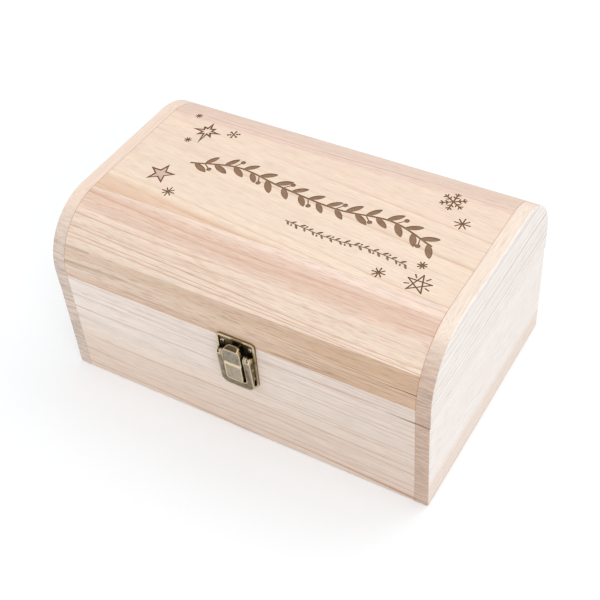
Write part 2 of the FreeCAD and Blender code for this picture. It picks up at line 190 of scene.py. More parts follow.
paper, t, where = new_material("seamless_white_paper")
paper_fibre = 2.5 * MM
seen = seen_directly(t)
fibre = add(t, NOISE, {"Vector": where, "Scale": 1 / paper_fibre})
seen_tone = add(t, MIX, {"Factor": fibre, "A": srgb("#f5f8fa"), "B": srgb("#f8fafc")}, data_type="RGBA")
tone = add(t, MIX, {"Factor": seen, "A": srgb("#e4e3e2"), "B": seen_tone}, data_type="RGBA")
matt = add(t, "ShaderNodeBsdfDiffuse", {"Color": tone})
lift = add(t, MATH, (seen, 0.085), operation="MULTIPLY")
glow = add(t, "ShaderNodeEmission", {"Color": srgb("#ffffff"), "Strength": lift})
add(t, OUTPUT, {"Surface": add(t, "ShaderNodeAddShader", (matt, glow))})

reach, floor_drop = 4.0, 0.3 * MM
corners = [(-reach, -reach), (reach, -reach), (reach, reach), (-reach, reach)]
floor_mesh = bpy.data.meshes.new("paper_floor")
floor_mesh.from_pydata([(*corner, -floor_drop) for corner in corners], [], [(0, 1, 2, 3)])
floor_mesh.materials.append(paper)
floor = bpy.data.objects.new("paper_floor", floor_mesh)
scene.collection.objects.link(floor)

lamps = (("key_softbox", (0.6, 1.2, 1.75), 1.5, 7.0), ("end_fill", (1.4, -1.3, 0.9), 1.4, 8.5))
for name, place, size, power in lamps:
    lamp = bpy.data.lights.new(name, "AREA")
    lamp.shape, lamp.size, lamp.energy = "DISK", size, power
    stand = bpy.data.objects.new(name, lamp)
    to_chest = (-Vector(place)).to_track_quat("-Z", "Y").to_matrix().to_4x4()
    stand.matrix_world = Matrix.Translation(place) @ to_chest
    scene.collection.objects.link(stand)
print("stage ready")

# %% [markdown]
# ## Bare paulownia
# Paulownia is sanded and left bare, so it is matt and nearly white where it is sapwood, and tan or pinkish
# brown where it is heartwood. What the eye reads as wood is drawn out along the trunk: broad bands of tone,
# thin growth lines with uneven spacing, and short dark pores. An image would repeat and stretch over the
# round shoulders, so the wood is a solid pattern in the board's own directions: along the grain, across the
# face and through the thickness. Every plank gets its own tones across the face, as on the real chest, where
# each board was cut from another plank. End grain drinks light, so faces cut across the grain are darker; the
# boards carry how far a face is cut across as an attribute.

# %% The wood
def paulownia(name, grain, across, tones, line_tone, end_tone, place=(0, 0, 0), slope=0.0, wander=7.0,
              ring_gap=4.5, uneven_by=22.0, faintest=0.06, pores=0.3, bands=0.03, far_tone=None,
              far_share=0.75, core_tone=None, crack=None):
    """A plank. tones are (mm across the face, colour, strength of the growth rings there). far_tone tints the
    plank towards its far end, core_tone is the wood under the outer skin of an end board, and crack is where
    a drying crack starts, along the chest and above the ground."""
    material, t, chest = new_material(name)
    turn = Matrix((grain, across, grain.cross(across))).to_euler()
    board = add(t, "ShaderNodeMapping", {
        "Vector": chest, "Location": place, "Rotation": turn, "Scale": (1 / MM,) * 3})
    along, over, through = add(t, "ShaderNodeSeparateXYZ", (board,)).outputs
    chest_x, _, chest_z = add(t, "ShaderNodeSeparateXYZ", (chest,)).outputs

    # The trunk is never straight: the lines wander by a few millimetres and run a little askew.
    drift = streaks(t, board, 260, 50, 1.0)
    drift = add(t, MATH, (drift, 2 * wander, over), operation="MULTIPLY_ADD")
    drift = add(t, MATH, (drift, wander), operation="SUBTRACT")
    drift = add(t, MATH, (along, slope, drift), operation="MULTIPLY_ADD")
    trunk = add(t, VECTOR, {"X": along, "Y": drift, "Z": through})

    low, high = tones[0][0], tones[-1][0]
    share = add(t, RANGE, {"Value": drift, "From Min": low, "From Max": high})
    plank = add(t, "ShaderNodeValToRGB", {"Fac": share})
    set_stops(plank, [((mm - low) / (high - low), (*srgb(code)[:3], bold)) for mm, code, bold in tones])

    # Tints that lie under the grain. The skin of an end board is between 0.1 and 0.8 mm deep.
    tints = []
    if far_tone:
        far = add(t, RANGE, {
            "Value": along, "From Min": -board_end / MM, "From Max": board_end / MM, "To Max": far_share})
        tints.append((far, srgb(far_tone)))
    if core_tone:
        core = add(t, MATH, (through,), operation="ABSOLUTE")
        core = add(t, RANGE, {
            "Value": core, "From Min": chest_end / MM - 0.8, "From Max": chest_end / MM - 0.1,
            "To Min": 1.0, "To Max": 0.0})
        tints.append((core, srgb(core_tone)))
    colour = plank.outputs["Color"]
    for factor, tone in tints:
        colour = add(t, MIX, {"Factor": factor, "A": colour, "B": tone}, data_type="RGBA")

    # Broad bands of lighter and darker wood, 12 mm wide, and fibres of 0.6 mm.
    shade = add(t, RANGE, {
        "Value": streaks(t, trunk, 700, 12, 2.0), "From Min": 0.3, "From Max": 0.7,
        "To Min": 1 - bands, "To Max": 1 + bands})
    fibre = add(t, RANGE, {
        "Value": streaks(t, trunk, 22, 0.6, 2.0), "From Min": 0.25, "From Max": 0.75,
        "To Min": 0.895, "To Max": 1.1})
    shade = add(t, MATH, (shade, fibre), operation="MULTIPLY")
    colour = add(t, "ShaderNodeHueSaturation", {"Value": shade, "Color": colour})

    # A growth ring starts with a sharp dark line and fades towards the next one. A slow noise makes the
    # spacing uneven, and another makes the rings bold in some stretches and faint in others. The level edges
    # of an end board lie along its rings, so they show none.
    level = add(t, "ShaderNodeAttribute", attribute_name="level").outputs["Fac"]
    ring = streaks(t, trunk, 500, 10, 1.0)
    ring = add(t, MATH, (ring, uneven_by, drift), operation="MULTIPLY_ADD")
    ring = add(t, MATH, (ring, 1 / ring_gap), operation="MULTIPLY")
    ring = add(t, MATH, (ring,), operation="FRACT")
    ring = add(t, MATH, (1.0, ring), operation="SUBTRACT")
    ring = add(t, MATH, (ring, 6.0), operation="POWER")
    stretch = add(t, RANGE, {
        "Value": streaks(t, trunk, 300, 7, 1.0), "From Min": 0.38, "From Max": 0.64, "To Min": faintest})
    strengths = [stretch, plank.outputs["Alpha"]]
    if grain != X:
        strengths.append(add(t, MATH, (1.0, level), operation="SUBTRACT"))
    for strength in strengths:
        ring = add(t, MATH, (ring, strength), operation="MULTIPLY")

    # Pores are 0.3 mm wide on the real wood; they are drawn 0.6 mm wide so that they show.
    pore = add(t, RANGE, {
        "Value": streaks(t, trunk, 11, 0.6, 1.0), "From Min": 0.52, "From Max": 0.78, "To Max": pores})

    # End grain: the rings cross the thickness askew, 1.6 mm apart, in a darker, greyer tone with fine specks.
    askew = add(t, "ShaderNodeMapping", {
        "Vector": board, "Rotation": (math.radians(-38), 0, 0), "Scale": (0.05, 1 / 1.6, 0.07)})
    end_rings = add(t, NOISE, {"Vector": askew, "Scale": 1.0, "Detail": 2.0})
    end_rings = add(t, RANGE, {
        "Value": end_rings, "From Min": 0.32, "From Max": 0.68, "To Min": 1.15, "To Max": 0.77})
    specks = add(t, NOISE, {"Vector": board, "Scale": 1.1, "Detail": 2.0})
    specks = add(t, RANGE, {
        "Value": specks, "From Min": 0.3, "From Max": 0.7, "To Min": 0.91, "To Max": 1.09})
    end_shade = add(t, MATH, (end_rings, specks), operation="MULTIPLY")
    ends = add(t, "ShaderNodeHueSaturation", {"Value": end_shade, "Color": srgb(end_tone)})
    cut = add(t, "ShaderNodeAttribute", attribute_name="end_grain").outputs["Fac"]
    cut = add(t, RANGE, {"Value": cut, "From Min": 0.3, "From Max": 0.95}, interpolation_type="SMOOTHSTEP")

    # Glue darkens the last half millimetre of a board where it meets an end board. Along the parting line,
    # near the right corner, the outside gets a brown band of painted shade for the dark gap between lid and
    # base.
    # The faces that the saw cut are themselves clean.
    glued = add(t, MATH, (chest_x,), operation="ABSOLUTE")
    glued = add(t, RANGE, {
        "Value": glued, "From Min": board_end - 0.8 * MM, "From Max": board_end - 0.1 * MM,
        "To Max": 0.55 if grain == X else 0.0})
    parting_shade = add(t, MATH, (chest_z, parting_height), operation="SUBTRACT")
    parting_shade = add(t, MATH, (parting_shade,), operation="ABSOLUTE")
    parting_shade = add(t, RANGE, {
        "Value": parting_shade, "From Min": 0.3 * MM, "From Max": 1.1 * MM, "To Min": 1.0, "To Max": 0.0})
    to_right = add(t, RANGE, {"Value": chest_x, "From Min": 116 * MM, "From Max": 144 * MM})
    upright_face = add(t, RANGE, {
        "Value": level, "From Min": 0.8, "From Max": 0.95, "To Min": 1.0, "To Max": 0.0})
    for mask in (to_right, upright_face) if grain == X else (to_right, upright_face, cut):
        parting_shade = add(t, MATH, (parting_shade, mask), operation="MULTIPLY")

    coats = [(ring, srgb(line_tone)), (pore, srgb(line_tone)), (cut, ends), (glued, srgb("#b07a55")),
             (parting_shade, srgb("#74472a"))]
    # Painted shade darkens the drying crack and its lips, up to 0.8 mm wide at the board's right end.
    if crack:
        crack_x, crack_z = crack
        aside = add(t, MATH, (chest_z, crack_z), operation="SUBTRACT")
        aside = add(t, MATH, (aside,), operation="ABSOLUTE")
        half_open = add(t, RANGE, {
            "Value": chest_x, "From Min": crack_x, "From Max": board_end, "To Max": 0.4 * MM})
        inside = add(t, MATH, (half_open, aside), operation="SUBTRACT")
        inside = add(t, RANGE, {"Value": inside, "From Max": 0.12 * MM, "To Max": 0.85})
        coats.append((inside, srgb("#5a5655")))
    for factor, tone in coats:
        colour = add(t, MIX, {"Factor": factor, "A": colour, "B": tone}, data_type="RGBA")

    relief = add(t, "ShaderNodeBump", {"Height": pore, "Strength": 0.25, "Distance": 0.06 * MM}, invert=True)
    rough = add(t, RANGE, {"Value": pore, "To Min": 0.62, "To Max": 0.8})
    surface = add(t, FINISH, {
        "Base Color": colour, "Roughness": rough, "Normal": relief, "IOR": 1.5, "Specular IOR Level": 0.3})
    add(t, OUTPUT, {"Surface": surface})
    return material


# %% [markdown]
# ## The planks
# The front panel and the rail above the parting line were one board before the lid was sawn off, so they
# share one plank, and so do the end boards of the base and the lid. The staves of a shoulder face half way
# between the front and the top, so their planks are turned to face outwards there.

# %% One material for each plank
def facing(degrees):
    """The direction up the face of a front shoulder, where 0 is its foot and 90 its crown."""
    return Vector((0, math.sin(math.radians(degrees)), math.cos(math.radians(degrees))))


flip = Vector((1, -1, 1))
crack_start = (108 * MM, 107.8 * MM)
low_face, high_face = facing(15), facing(60)
planks = {
    "front": paulownia(
        "sapwood_front", X, Z,
        [(0, "#e8d3c3", 1.0), (36, "#ecdccf", 0.95), (58, "#f3e8df", 0.75), (96, "#f5ebe4", 0.65)],
        "#b57f63", "#d3bfb1", slope=0.015, wander=5.0, ring_gap=6.0, bands=0.035, far_tone="#dfcfc3"),
    "back": paulownia(
        "sapwood_back", X, Z, [(0, "#ecded2", 0.6), (50, "#e6d5c7", 0.8), (96, "#eee2d8", 0.5)],
        "#b98469", "#cfbcae", place=(310, 40, 70), slope=-0.015, wander=5.0, ring_gap=6.0, pores=0.2),
    "right_end": paulownia(
        "sapwood_right_end", Y, Z,
        [(0, "#f0e0d4", 0.4), (16, "#f1e3d9", 0.35), (23, "#f5eee9", 0.18), (80, "#f5efea", 0.25),
         (105, "#f5efea", 0.9), (150, "#f5efea", 0.9)],
        "#94766a", "#ccb3a2", slope=0.02, wander=4.0, ring_gap=4.4, pores=0.25, bands=0.01,
        core_tone="#f6e4d4", faintest=0.4, uneven_by=8.0),
    "left_end": paulownia(
        "sapwood_left_end", Y, Z, [(0, "#f1e6dc", 0.6), (150, "#f2e8df", 0.6)],
        "#b79a8a", "#d9c8bc", place=(90, 30, 0), wander=4.0, ring_gap=3.0, pores=0.2, bands=0.015,
        core_tone="#f3dccb"),
    "front_low": paulownia(
        "heartwood_front_stave", X, low_face,
        [(64, "#d6b49f", 0.6), (69, "#e2c7b4", 0.8), (71, "#ead6c6", 0.8), (82, "#eedccc", 0.75),
         (86, "#e2cbb8", 0.7), (92, "#e8d3c2", 0.5)],
        "#8f6a4a", "#c4aa92", place=(40, 0, 0), slope=0.01, wander=3.0, ring_gap=3.2, pores=0.5, bands=0.07,
        far_tone="#c79f79", far_share=0.6, crack=crack_start),
    "front_high": paulownia(
        "streaky_front_stave", X, high_face,
        [(-26, "#e8d3c2", 0.9), (-17, "#eedac9", 0.95), (-6, "#f0dcc9", 0.9), (4, "#efdac8", 0.7),
         (9, "#e8cbb9", 0.55), (13, "#e8ccba", 0.6), (18, "#e2c3b0", 0.6), (22, "#e8ccba", 0.5),
         (26, "#f2dccd", 0.5)],
        "#b9845b", "#cbb39c", place=(20, 0, 0), slope=0.03, wander=5.0, pores=0.46, bands=0.05),
    "top": paulownia(
        "peach_top_board", X, Y,
        [(-58, "#e6c6ad", 0.6), (-50, "#ebcfb7", 0.5), (-46, "#f2deca", 0.5), (60, "#f1dbc8", 0.5)],
        "#c4926a", "#cbb39c", slope=0.1, wander=6.0, pores=0.34, ring_gap=11.0),
    "back_high": paulownia(
        "pinkish_back_stave", X, high_face * flip,
        [(-26, "#e6d0c0", 0.6), (14, "#e8cfbf", 0.6), (24, "#ebd1c1", 0.6)],
        "#a87f6b", "#cbb39c", place=(500, 0, 20), wander=4.0, ring_gap=4.0),
    "back_low": paulownia(
        "heartwood_back_stave", X, low_face * flip, [(64, "#e0cbb9", 0.6), (92, "#e3cdb9", 0.6)],
        "#a98464", "#c4aa92", place=(700, 0, 20), wander=4.0, pores=0.4),
}
plank_of_node = {
    "base_front_panel": "front", "lid_front_rail": "front", "base_back_panel": "back",
    "lid_back_rail": "back", "base_right_end": "right_end", "lid_right_end": "right_end",
    "base_left_end": "left_end", "lid_left_end": "left_end", "lid_front_lower_stave": "front_low",
    "lid_front_upper_stave": "front_high", "lid_back_lower_stave": "back_low",
}
print(len(planks), "planks")

# %% [markdown]
# ## The boards
# A board's faces and holes are right in the CAD model, and only its razor-sharp edges give it away. So each
# board is a copy of its node: the triangles are merged and flat faces joined, the long edges get a chamfer
# that is as small as a sanding block leaves, and every corner notes how far its face is cut across the grain.
# The brown front stave has a drying crack at its right end, which is cut in with three planes and pulled
# inwards.

# %% Tools for boards and metal
# Slack in metres, angles between neighbouring faces, and how alike the normals of one round face are.
weld, cut_slack = 1e-6, 1e-7
flat_below, smooth_below, one_round_face = math.radians(0.5), math.radians(40), 0.8


def merged_copy(node):
    """A node's mesh with its triangles joined to whole flat faces."""
    bm = bmesh.new()
    bm.from_mesh(cad[node].data)
    bmesh.ops.remove_doubles(bm, verts=bm.verts, dist=weld)
    bmesh.ops.dissolve_limit(bm, angle_limit=flat_below, verts=bm.verts, edges=bm.edges)
    return bm


def crisp_edges(bm, angle, shortest=0.0, outer_only=False):
    """Edges whose two faces meet at more than an angle, given in radians."""
    return [e for e in bm.edges if e.is_manifold and e.calc_face_angle(0) > angle
            and e.calc_length() > shortest and (e.is_convex or not outer_only)]


def ease(bm, edges, size, segments=1):
    """Takes the sharpness off edges, with a chamfer or, with more segments, a rounding."""
    bmesh.ops.bevel(bm, geom=edges, offset=size, segments=segments, profile=0.5, affect="EDGES",
                    clamp_overlap=True)


def note_faces(bm, grain):
    """Stores on every corner how square its face is to the grain and how level, smoothed over round faces."""
    end_grain, level = [bm.loops.layers.float.new(name) for name in ("end_grain", "level")]
    for face in bm.faces:
        for loop in face.loops:
            near = [f.normal for f in loop.vert.link_faces if f.normal.dot(face.normal) > one_round_face]
            facing_way = sum(near, Vector()).normalized()
            loop[end_grain], loop[level] = abs(facing_way.dot(grain)), abs(facing_way.z)


def placed(bm, name, node, *materials):
    """Turns a bmesh into a smooth-shaded piece with crisp edges that stands for a node and rides like it."""
    bm.normal_update()
    for face in bm.faces:
        face.smooth = True
    for edge in bm.edges:
        edge.smooth = edge.is_manifold and edge.calc_face_angle(0) < smooth_below
    mesh = bpy.data.meshes.new(name)
    bm.to_mesh(mesh)
    bm.free()
    for material in materials:
        mesh.materials.append(material)
    piece = bpy.data.objects.new(name, mesh)
    scene.collection.objects.link(piece)
    even = piece.modifiers.new("even_normals", "WEIGHTED_NORMAL")
    even.keep_sharp = True
    shaded = bpy.data.meshes.new_from_object(piece.evaluated_get(bpy.context.evaluated_depsgraph_get()))
    piece.modifiers.remove(even)
    piece.data = shaded
    piece.data.name = name
    body = body_of_node[node]
    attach(piece, body)
    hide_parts(node)
    return piece


# %% Eased boards
def slit(bm, width, depth, outside):
    """Opens the drying crack in the front stave: a wedge that widens and deepens towards the right end. Only
    what lies in front of the plane y = outside is pulled in, which spares the board's inner face."""
    start_x, height = crack_start
    run = max(v.co.x for v in bm.verts) - start_x
    start = Vector((start_x, 0, height))
    parts = bm.verts[:] + bm.edges[:] + bm.faces[:]
    bmesh.ops.bisect_plane(bm, geom=parts, dist=cut_slack, plane_co=start, plane_no=X)
    for rise in (-width / 2, 0, width / 2):
        beyond = [f for f in bm.faces if f.calc_center_median().x > start_x]
        parts = list(dict.fromkeys(part for f in beyond for part in (*f.verts, *f.edges, f)))
        tilted = Vector((-rise, 0, run))
        bmesh.ops.bisect_plane(bm, geom=parts, dist=cut_slack, plane_co=start, plane_no=tilted)
    for v in bm.verts:
        on_line = v.co.x > start_x + weld and abs(v.co.z - height) < weld
        if on_line and v.co.y < outside:
            v.co.y += depth * (v.co.x - start_x) / run


sanded = 0.15 * MM
for node, plank in plank_of_node.items():
    bm = merged_copy(node)
    ease(bm, crisp_edges(bm, angle=0.7, shortest=1.5 * MM), sanded)
    if plank == "front_low":
        slit(bm, width=0.6 * MM, depth=1.2 * MM, outside=-90 * MM)
    note_faces(bm, Y if plank.endswith("_end") else X)
    piece = placed(bm, node + "_board", node, planks[plank])
    print(node, len(piece.data.polygons), "faces")

# %% [markdown]
# ## Ornaments with arms
# Snowflakes and asterisks are one short stroke, turned about a centre as often as the ornament has arms. A
# snowflake's stroke carries pairs of twigs. Drawing every arm by hand would be slow to change, so a Geometry
# Nodes tree makes one arm from its sizes and sets it on as many points as there are arms. It is laid out
# flat, as a drawing: the drawing is cut into the wood further down.

# %% The tree for radiating arms
def new_tree(name, sizes):
    """An empty Geometry Nodes tree with named inputs, and its input node."""
    tree = bpy.data.node_groups.new(name, "GeometryNodeTree")
    tree.interface.new_socket("Geometry", in_out="INPUT", socket_type="NodeSocketGeometry")
    for label, kind in sizes.items():
        tree.interface.new_socket(label, in_out="INPUT", socket_type="NodeSocket" + kind)
    tree.interface.new_socket("Geometry", in_out="OUTPUT", socket_type="NodeSocketGeometry")
    return tree, add(tree, "NodeGroupInput").outputs


def close_tree(tree, shape, material):
    """Ends a tree: instances become real faces with a material."""
    real = add(tree, "GeometryNodeRealizeInstances", {"Geometry": shape})
    dressed = add(tree, "GeometryNodeSetMaterial", {"Geometry": real, "Material": material})
    add(tree, "NodeGroupOutput", {"Geometry": dressed})
    print(tree.name, len(tree.nodes), "nodes")


def grown(tree, start, sizes):
    """The plain mesh that a tree makes from a starting mesh and its sizes."""
    holder = bpy.data.objects.new(tree.name, start)
    scene.collection.objects.link(holder)
    nodes_modifier = holder.modifiers.new(tree.name, "NODES")
    nodes_modifier.node_group = tree
    for item in tree.interface.items_tree:
        if item.in_out == "INPUT" and item.name in sizes:
            nodes_modifier[item.identifier] = sizes[item.name]
    made = bpy.data.meshes.new_from_object(holder.evaluated_get(bpy.context.evaluated_depsgraph_get()))
    bpy.data.objects.remove(holder)
    return made


t, size = new_tree("radiating_arms", {
    "Arms": "Int", "Reach": "Float", "Width": "Float", "Shorter": "Float", "Turn": "Float", "Twigs": "Int",
    "Material": "Material"})
arms_tree = t
half_reach, twig_start, twig_step = [
    add(t, MATH, (size["Reach"], share), operation="MULTIPLY") for share in (0.5, 0.4, 0.34)]
half_width = add(t, MATH, (size["Width"], 0.5), operation="MULTIPLY")
at_middle, at_tip, at_first_twig, to_next_twig = [
    add(t, VECTOR, {"X": x}) for x in (half_reach, size["Reach"], twig_start, twig_step)]
bar = add(t, GRID, {"Size X": size["Reach"], "Size Y": size["Width"], "Vertices X": 2, "Vertices Y": 2})
bar = add(t, MOVE, {"Geometry": bar, "Translation": at_middle})
tip = add(t, DISC, {"Vertices": 10, "Radius": half_width}, fill_type="NGON")
tip = add(t, MOVE, {"Geometry": tip, "Translation": at_tip})
twig_places = add(t, "GeometryNodeMeshLine", {
    "Count": size["Twigs"], "Start Location": at_first_twig, "Offset": to_next_twig})
twig = add(t, MOVE, {"Geometry": bar, "Scale": (0.3, 0.9, 1)})
twigs = [add(t, COPIES, {"Points": twig_places, "Instance": twig, "Rotation": (0, 0, math.radians(lean))})
         for lean in (-55, 55)]
arm = add(t, JOIN, {"Geometry": [bar, tip, *twigs]})
index = add(t, "GeometryNodeInputIndex")
step = add(t, MATH, (2 * math.pi, size["Arms"]), operation="DIVIDE")
angle = add(t, MATH, (index, step, size["Turn"]), operation="MULTIPLY_ADD")
turned = add(t, "FunctionNodeEulerToRotation", (add(t, VECTOR, {"Z": angle}),))
odd = add(t, MATH, (index, 2.0), operation="MODULO")
length = add(t, MATH, (odd, size["Shorter"]), operation="MULTIPLY")
length = add(t, MATH, (1.0, length), operation="SUBTRACT")
arms = add(t, COPIES, {
    "Points": add(t, "GeometryNodePoints", {"Count": size["Arms"]}), "Instance": arm, "Rotation": turned,
    "Scale": add(t, VECTOR, {"X": length, "Y": 1.0, "Z": 1.0})})
close_tree(t, arms, size["Material"])

# %% [markdown]
# ## A leafy sprig
# The middle of the lid carries a plain evergreen sprig, and a finer one runs under it on the right. A sprig
# is a rule: a leaf at every step along a curve, left and right in turn, leaning forwards, and now and then a
# berry on a stalk. So the second tree takes a few points, draws a smooth curve through them and sets the
# leaves on it.

# %% The tree for sprigs
t, size = new_tree("leafy_sprig", {
    "Leaf": "Float", "Width": "Float", "Gap": "Float", "Lean": "Float", "Stem": "Float", "Berry": "Float",
    "Seed": "Int", "Material": "Material"})
sprig_tree = t
path = add(t, "GeometryNodeMeshToCurve", (size["Geometry"],))
path = add(t, "GeometryNodeCurveSplineType", {"Curve": path}, spline_type="CATMULL_ROM")
path = add(t, "GeometryNodeSetSplineResolution", {0: path, "Resolution": 12})
half_gap, half_leaf, half_wide = [
    add(t, MATH, (size[name], 0.5), operation="MULTIPLY") for name in ("Gap", "Leaf", "Width")]
steps, fine_steps = [
    add(t, "GeometryNodeCurveToPoints", {"Curve": path, "Length": gap}, mode="LENGTH").outputs
    for gap in (size["Gap"], half_gap)]
along, stem_turn = [
    add(t, "FunctionNodeAlignRotationToVector", {"Vector": points["Tangent"]}, axis="X")
    for points in (steps, fine_steps)]
index = add(t, "GeometryNodeInputIndex")
odd = add(t, MATH, (index, 2.0), operation="MODULO")
side = add(t, MATH, (odd, 2.0, -1.0), operation="MULTIPLY_ADD")
lean = add(t, MATH, (side, size["Lean"]), operation="MULTIPLY")
other = add(t, MATH, (lean, -1.3), operation="MULTIPLY")
turns = [add(t, "FunctionNodeEulerToRotation", (add(t, VECTOR, {"Z": z}),)) for z in (lean, other)]
leaf_turn, berry_turn = [
    add(t, "FunctionNodeRotateRotation", {"Rotation": along, "Rotate By": turn}, rotation_space="LOCAL")
    for turn in turns]

disc = add(t, DISC, {"Vertices": 18, "Radius": 1.0}, fill_type="NGON")
disc_x, disc_y, _ = add(t, "ShaderNodeSeparateXYZ", (add(t, "GeometryNodeInputPosition"),)).outputs
leaf_x = add(t, MATH, (disc_x, 1.0))
leaf_x = add(t, MATH, (leaf_x, half_leaf), operation="MULTIPLY")
swell = add(t, MATH, (disc_y,), operation="ABSOLUTE")
swell = add(t, MATH, (swell, 0.5), operation="POWER")
leaf_y = add(t, MATH, (disc_y, swell), operation="MULTIPLY")
leaf_y = add(t, MATH, (leaf_y, half_wide), operation="MULTIPLY")
leaf_place = add(t, VECTOR, {"X": leaf_x, "Y": leaf_y})
leaf = add(t, "GeometryNodeSetPosition", {"Geometry": disc, "Position": leaf_place})
vary = add(t, "FunctionNodeRandomValue", {"Min": 0.86, "Max": 1.08, "Seed": size["Seed"]}, data_type="FLOAT")
leaves = add(t, COPIES, {
    "Points": steps["Points"], "Instance": leaf, "Rotation": leaf_turn, "Scale": vary})

stalk = add(t, GRID, {"Size X": size["Gap"], "Size Y": size["Stem"], "Vertices X": 2, "Vertices Y": 2})
stem = add(t, COPIES, {"Points": fine_steps["Points"], "Instance": stalk, "Rotation": stem_turn})
out = add(t, MATH, (size["Leaf"], 0.55), operation="MULTIPLY")
half_out = add(t, MATH, (out, 0.5), operation="MULTIPLY")
thin = add(t, MATH, (size["Stem"], 0.6), operation="MULTIPLY")
ball = add(t, DISC, {"Vertices": 16, "Radius": size["Berry"]}, fill_type="NGON")
ball = add(t, MOVE, {"Geometry": ball, "Translation": add(t, VECTOR, {"X": out})})
thread = add(t, GRID, {"Size X": out, "Size Y": thin, "Vertices X": 2, "Vertices Y": 2})
thread = add(t, MOVE, {"Geometry": thread, "Translation": add(t, VECTOR, {"X": half_out})})
berry = add(t, JOIN, {"Geometry": [ball, thread]})
third = add(t, MATH, (index, 3.0), operation="MODULO")
third = add(t, MATH, (third, 1.0, 0.1), operation="COMPARE")
berries = add(t, COPIES, {
    "Points": steps["Points"], "Selection": third, "Instance": berry, "Rotation": berry_turn})
close_tree(t, add(t, JOIN, {"Geometry": [leaves, stem, berries]}), size["Material"])

# %% [markdown]
# ## Scorched wood
# A laser cuts the ornaments by burning a shallow recess. The floor comes out as an even mid brown with the
# grain still faintly in it. Thin lines are drawn by a slower beam and come out darker, and the walls are
# sootiest. A light pass only toasts the wood.

# %% Degrees of scorching
def scorched(name, light, dark):
    material, t, where = new_material(name)
    # Fibres 6 mm long and 0.6 mm wide take the burn unevenly.
    fibres = streaks(t, where, 6 * MM, 0.6 * MM, 2.0)
    burn = add(t, RANGE, {"Value": fibres, "From Min": 0.3, "From Max": 0.7})
    colour = add(t, MIX, {"Factor": burn, "A": srgb(light), "B": srgb(dark)}, data_type="RGBA")
    char = add(t, "ShaderNodeBump", {"Height": fibres, "Strength": 0.3, "Distance": 0.05 * MM})
    surface = add(t, FINISH, {
        "Base Color": colour, "Normal": char, "Roughness": 0.85, "IOR": 1.5, "Specular IOR Level": 0.2})
    add(t, OUTPUT, {"Surface": surface})
    return material


burns = [
    scorched("laser_burnt_floor", "#a28269", "#876850"), scorched("laser_toasted", "#e0c8b6", "#c4a998"),
    scorched("laser_burnt_line", "#956e4f", "#7a553b"), scorched("laser_sooty_wall", "#7d5a42", "#644630")]
print([b.name for b in burns])

# %% [markdown]
# ## The drawing
# All ornaments stand upright on the lid, in millimetres from its middle. Stars are drawn as outlines: the
# inside of the eight-pointed one stays bare, the five-pointed one is toasted inside, and the last one is a
# single line that crosses itself, with short rays round it. Each shape has a depth, and a later shape wins
# over an earlier one.

# %% Tools for drawing
BARE, DEEP, LIGHT, LINE, WALL = range(5)
shapes = []


def draw(points, depth=DEEP):
    shapes.append(([tuple(p) for p in points], depth))


def draw_grown(tree, start, sizes, centre=(0, 0), depth=DEEP):
    made = grown(tree, start, {**sizes, "Material": burns[0]})
    for polygon in made.polygons:
        corners = [made.vertices[i].co for i in polygon.vertices]
        draw([(c.x + centre[0], c.y + centre[1]) for c in corners], depth)


def spokes(centre, radii, turn=0.0):
    """Points at even angles round a centre, one for each radius."""
    angles = [math.radians(turn + 360 * i / len(radii)) for i in range(len(radii))]
    return [Vector((centre[0] + r * math.cos(a), centre[1] + r * math.sin(a))) for r, a in zip(radii, angles)]


def inset(points, by, sharpest=0.3):
    """A counter-clockwise outline moved inwards. Sharpest limits how far a narrow point moves."""
    moved = []
    for before, here, after in zip(points[-1:] + points[:-1], points, points[1:] + points[:1]):
        a, b = (here - before).normalized(), (after - here).normalized()
        inward = (Vector((-a.y, a.x)) + Vector((-b.y, b.x))).normalized()
        moved.append(here + inward * by / max(inward.dot(Vector((-a.y, a.x))), sharpest))
    return moved


def stroke(start, end, width):
    """A straight line of some width, as four points."""
    run = (end - start).normalized() * width / 2
    aside = Vector((-run.y, run.x))
    return [start - run + aside, start - run - aside, end + run - aside, end + run + aside]


# %% Shapes for the engraving
line_width, fine_width, fine_reach = 1.0, 0.85, 3.0
asterisks = (((-118.3, 54.8), 2.5, 0.0), ((-108.9, 25.4), 2.6, 0.0), ((-86.8, -31.9), 4.8, 0.1),
             ((113.8, 26.3), 5.6, 0.05), ((85.4, -40.8), 4.6, 0.05), ((107.7, -22.3), 3.2, 0.0))
for centre, reach, shorter in asterisks:
    width = line_width if reach > fine_reach else fine_width
    draw_grown(arms_tree, bpy.data.meshes.new("asterisk"), {
        "Arms": 8, "Reach": reach, "Width": width, "Shorter": shorter}, centre, LINE)
draw_grown(arms_tree, bpy.data.meshes.new("snowflake"), {
    "Arms": 6, "Reach": 9.2, "Width": 1.15, "Turn": math.radians(30), "Twigs": 2}, (98.7, 44.9), LINE)

flake, dot, dots_along_arm = Vector((-80.9, 45.4)), [0.95] * 8, (0.68, 1.18)
for i, tip in enumerate(spokes(flake, [3.7] * 6, turn=30)):
    if i % 3:
        draw(stroke(flake, tip, line_width), LINE)
        draw(spokes(tip, dot), LINE)
    else:
        for share in dots_along_arm:
            draw(spokes(flake.lerp(tip, share), dot), LINE)

eight_points, valley = (12.3, 7.8, 11.4, 7.3, 12.6, 9.2, 15.4, 9.4), 4.6
star = spokes((-101.4, 40.3), [r for point in eight_points for r in (point, valley)], turn=4.5)
draw(star, LINE)
draw(inset(star, by=1.5), BARE)
star = spokes((-103.9, -17.0), [11.5, 4.6] * 5, turn=17)
draw(star, LINE)
draw(inset(star, by=1.2), LIGHT)

